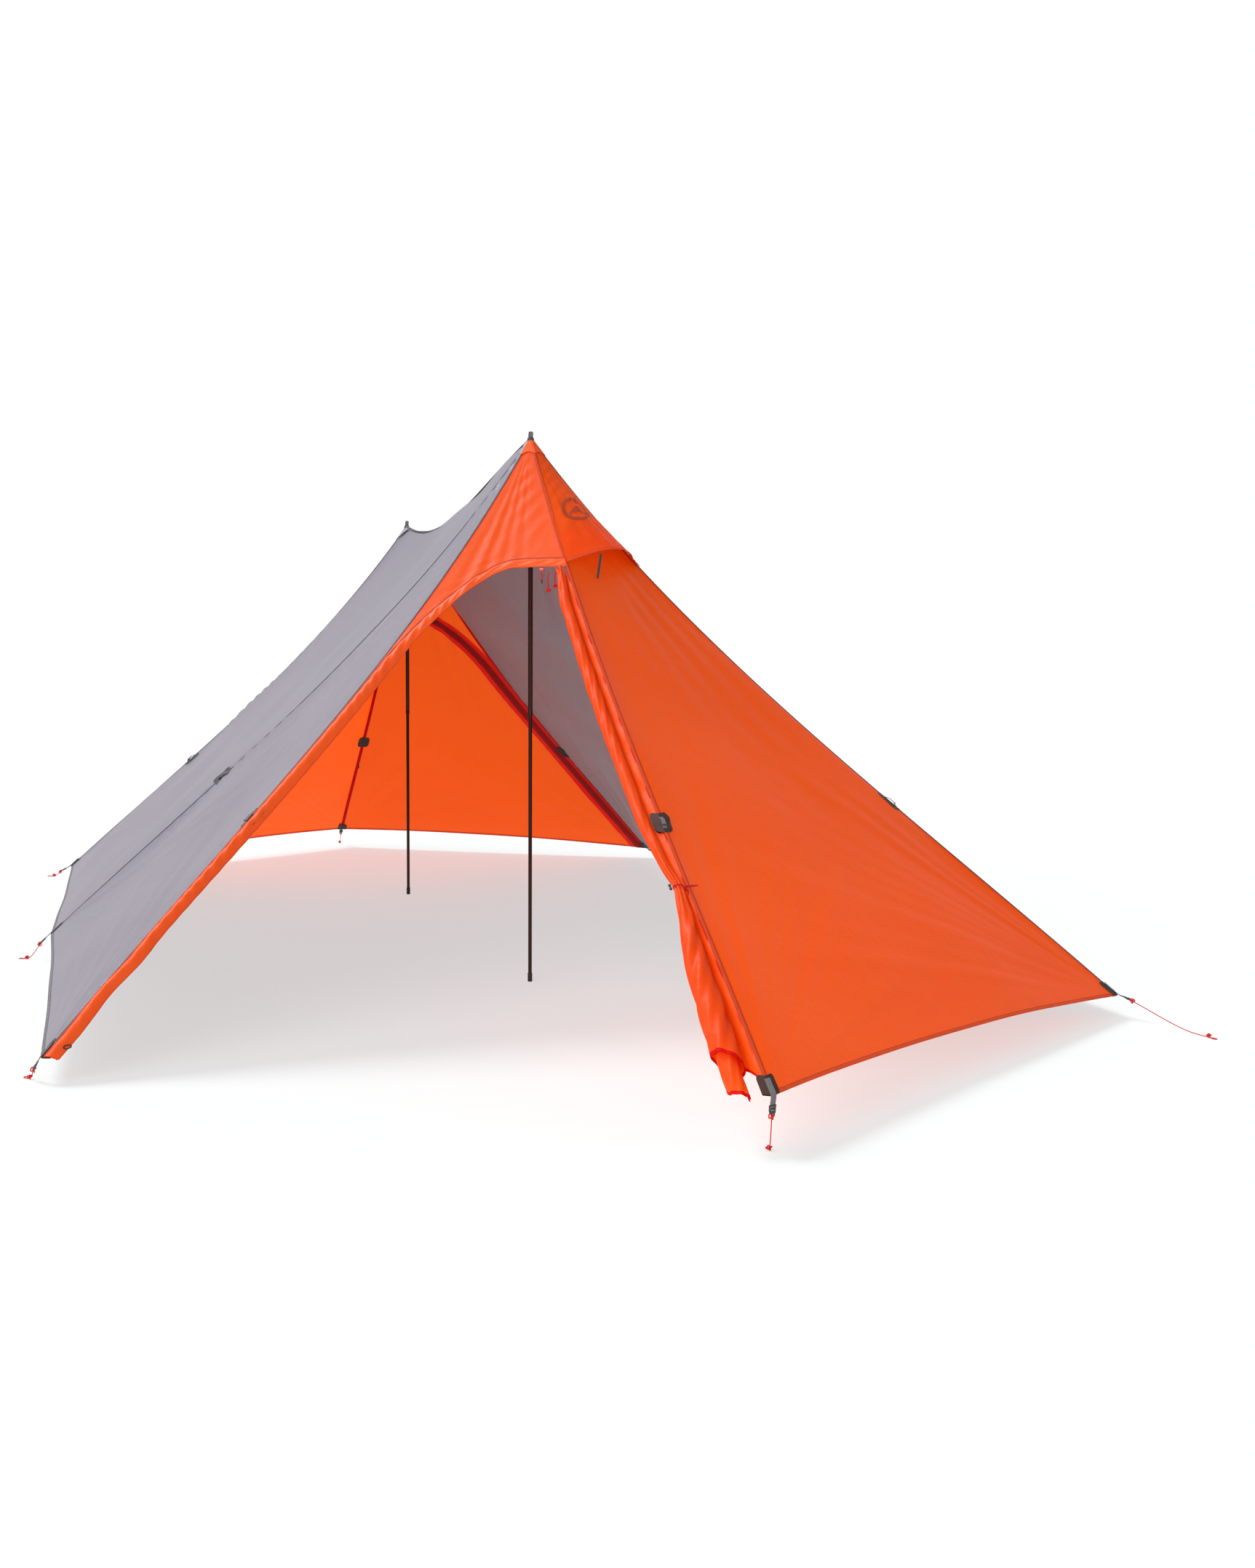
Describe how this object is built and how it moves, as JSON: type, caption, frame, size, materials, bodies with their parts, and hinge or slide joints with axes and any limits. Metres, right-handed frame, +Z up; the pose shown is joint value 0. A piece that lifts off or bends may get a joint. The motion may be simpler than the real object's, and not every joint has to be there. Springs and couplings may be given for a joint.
{
  "type": "two-pole floorless tent",
  "caption": "Six-sided floorless tent on two upright telescopic poles, with a rolled arched door, a second zipped door, a hooded vent and cord tie-outs.",
  "frame": {"origin": "on the ground, under the middle of the tent without its guy lines", "axes": "+X to the head end (the end with the rolled door and the vent), +Y to the side of the vent, +Z up"},
  "size_m": [5.6645, 3.0192, 1.648],
  "materials": {
    "grey_fabric": "thin coated ripstop nylon, soft sheen",
    "orange_fabric": "thin coated ripstop nylon, translucent, soft sheen",
    "red_tape": "woven zip tape",
    "webbing": "woven polyester webbing and laminated patches",
    "guy_cord": "braided cord",
    "plastic": "moulded acetal",
    "pole": "dark anodised",
    "rubber": "matt"
  },
  "bodies": {
    "canopy": {"left_wall_front": "grey_fabric", "right_wall_front": "grey_fabric", "left_wall_rear": "grey_fabric", "right_wall_rear": "grey_fabric", "head_left_panel": "orange_fabric", "head_storm_flap": "orange_fabric", "foot_left_panel": "orange_fabric", "foot_right_panel": "orange_fabric", "foot_storm_flap": "red_tape", "head_peak_cap": "webbing", "foot_peak_cap": "webbing", "head_right_panel": "orange_fabric", "vent_hood": "orange_fabric", "head_door": "orange_fabric", "head_door_toggle": "plastic", "head_pole_upper": "pole", "foot_pole_upper": "pole", "head_apex_tie_out": "webbing", "head_apex_webbing": "webbing", "head_left_tie_out": "webbing", "head_left_webbing": "webbing", "head_right_tie_out": "webbing", "head_right_webbing": "webbing", "mid_left_tie_out": "webbing", "mid_left_webbing": "webbing", "mid_right_tie_out": "webbing", "mid_right_webbing": "webbing", "foot_left_tie_out": "webbing", "foot_left_webbing": "webbing", "foot_right_tie_out": "webbing", "foot_right_webbing": "webbing", "foot_apex_tie_out": "webbing", "foot_apex_webbing": "webbing"},
    "head_pole_lower_section": {"head_pole_lower": "pole", "head_pole_tip": "rubber"},
    "foot_pole_lower_section": {"foot_pole_lower": "pole", "foot_pole_tip": "rubber"},
    "foot_door": {"foot_door": "orange_fabric"},
    "foot_zip_slider": {"foot_zip_slider": "red_tape"},
    "foot_zip_pull": {"foot_zip_pull": "guy_cord"},
    "head_zip_slider": {"head_zip_slider": "red_tape"},
    "head_zip_pull": {"head_zip_pull": "guy_cord"},
    "vent_strut": {"vent_strut": "plastic"},
    "foot_door_toggle": {"foot_door_toggle": "plastic"},
    "head_apex_line": {"head_apex_tensioner": "plastic", "head_apex_guy_line": "guy_cord"},
    "head_left_line": {"head_left_tensioner": "plastic", "head_left_guy_line": "guy_cord"},
    "head_right_line": {"head_right_tensioner": "plastic", "head_right_guy_line": "guy_cord"},
    "mid_left_line": {"mid_left_tensioner": "plastic", "mid_left_guy_line": "guy_cord"},
    "mid_right_line": {"mid_right_tensioner": "plastic", "mid_right_guy_line": "guy_cord"},
    "foot_left_line": {"foot_left_tensioner": "plastic", "foot_left_guy_line": "guy_cord"},
    "foot_right_line": {"foot_right_tensioner": "plastic", "foot_right_guy_line": "guy_cord"},
    "foot_apex_line": {"foot_apex_tensioner": "plastic", "foot_apex_guy_line": "guy_cord"}
  },
  "joints": [
    {"name": "head_pole_slide", "type": "slide", "parent": "canopy", "child": "head_pole_lower_section", "axis": [0, 0, 1], "range_m": [0, 0.6]},
    {"name": "foot_pole_slide", "type": "slide", "parent": "canopy", "child": "foot_pole_lower_section", "axis": [0, 0, 1], "range_m": [0, 0.5]},
    {"name": "foot_door_swing", "type": "hinge", "parent": "canopy", "child": "foot_door", "pos_m": [-2.7462, -0.00102, 0.082], "axis": [0.7648, 0, 0.6443], "range_deg": [0, 75]},
    {"name": "foot_zip_travel", "type": "slide", "parent": "foot_door", "child": "foot_zip_slider", "axis": [0.4268, -0.6473, 0.6315], "range_m": [0, 0.24]},
    {"name": "foot_zip_pull_lift", "type": "hinge", "parent": "foot_zip_slider", "child": "foot_zip_pull", "pos_m": [-1.95212, 1.12417, 0.13673], "axis": [0.7128, 0.6706, 0.2056], "range_deg": [0, 90]},
    {"name": "head_zip_travel", "type": "slide", "parent": "canopy", "child": "head_zip_slider", "axis": [-0.6109, -0.7914, -0.0195], "range_m": [0, 0.06]},
    {"name": "head_zip_pull_swing", "type": "hinge", "parent": "head_zip_slider", "child": "head_zip_pull", "pos_m": [1.12594, -0.06432, 1.23184], "axis": [-0.6111, -0.7916, 0], "range_deg": [-40, 40]},
    {"name": "vent_strut_fold", "type": "hinge", "parent": "canopy", "child": "vent_strut", "pos_m": [1.13478, 0.09522, 1.2135], "axis": [0.4375, -0.8721, 0.2192], "range_deg": [0, 40]},
    {"name": "foot_door_toggle_swing", "type": "hinge", "parent": "canopy", "child": "foot_door_toggle", "pos_m": [-2.27659, -0.00102, 0.4318], "axis": [0, 1, 0], "range_deg": [-25, 25]},
    {"name": "head_apex_line_lift", "type": "hinge", "parent": "canopy", "child": "head_apex_line", "pos_m": [2.77845, 0.0004, 0.10736], "axis": [-0.1761, 0.9772, 0.1185], "range_deg": [0, 45]},
    {"name": "head_left_line_lift", "type": "hinge", "parent": "canopy", "child": "head_left_line", "pos_m": [1.69442, -1.4564, 0.0478], "axis": [-0.7638, 0.3622, 0.5342], "range_deg": [0, 45]},
    {"name": "head_right_line_lift", "type": "hinge", "parent": "canopy", "child": "head_right_line", "pos_m": [1.73233, 1.45386, 0.06027], "axis": [0.3378, -0.7974, 0.5], "range_deg": [0, 45]},
    {"name": "mid_left_line_lift", "type": "hinge", "parent": "canopy", "child": "mid_left_line", "pos_m": [-0.01429, -1.3928, 0.0708], "axis": [-0.9421, 0.2635, 0.2073], "range_deg": [0, 45]},
    {"name": "mid_right_line_lift", "type": "hinge", "parent": "canopy", "child": "mid_right_line", "pos_m": [-0.01429, 1.39075, 0.0708], "axis": [0.9421, 0.2635, -0.2073], "range_deg": [0, 45]},
    {"name": "foot_left_line_lift", "type": "hinge", "parent": "canopy", "child": "foot_left_line", "pos_m": [-2.00053, -1.26205, 0.0356], "axis": [-0.899, 0.4318, -0.0734], "range_deg": [0, 45]},
    {"name": "foot_right_line_lift", "type": "hinge", "parent": "canopy", "child": "foot_right_line", "pos_m": [-2.00053, 1.26001, 0.0356], "axis": [0.899, 0.4318, 0.0734], "range_deg": [0, 45]},
    {"name": "foot_apex_line_lift", "type": "hinge", "parent": "canopy", "child": "foot_apex_line", "pos_m": [-2.7685, 0.00086, 0.07187], "axis": [0.0624, 0.9969, 0.0479], "range_deg": [0, 45]}
  ]
}
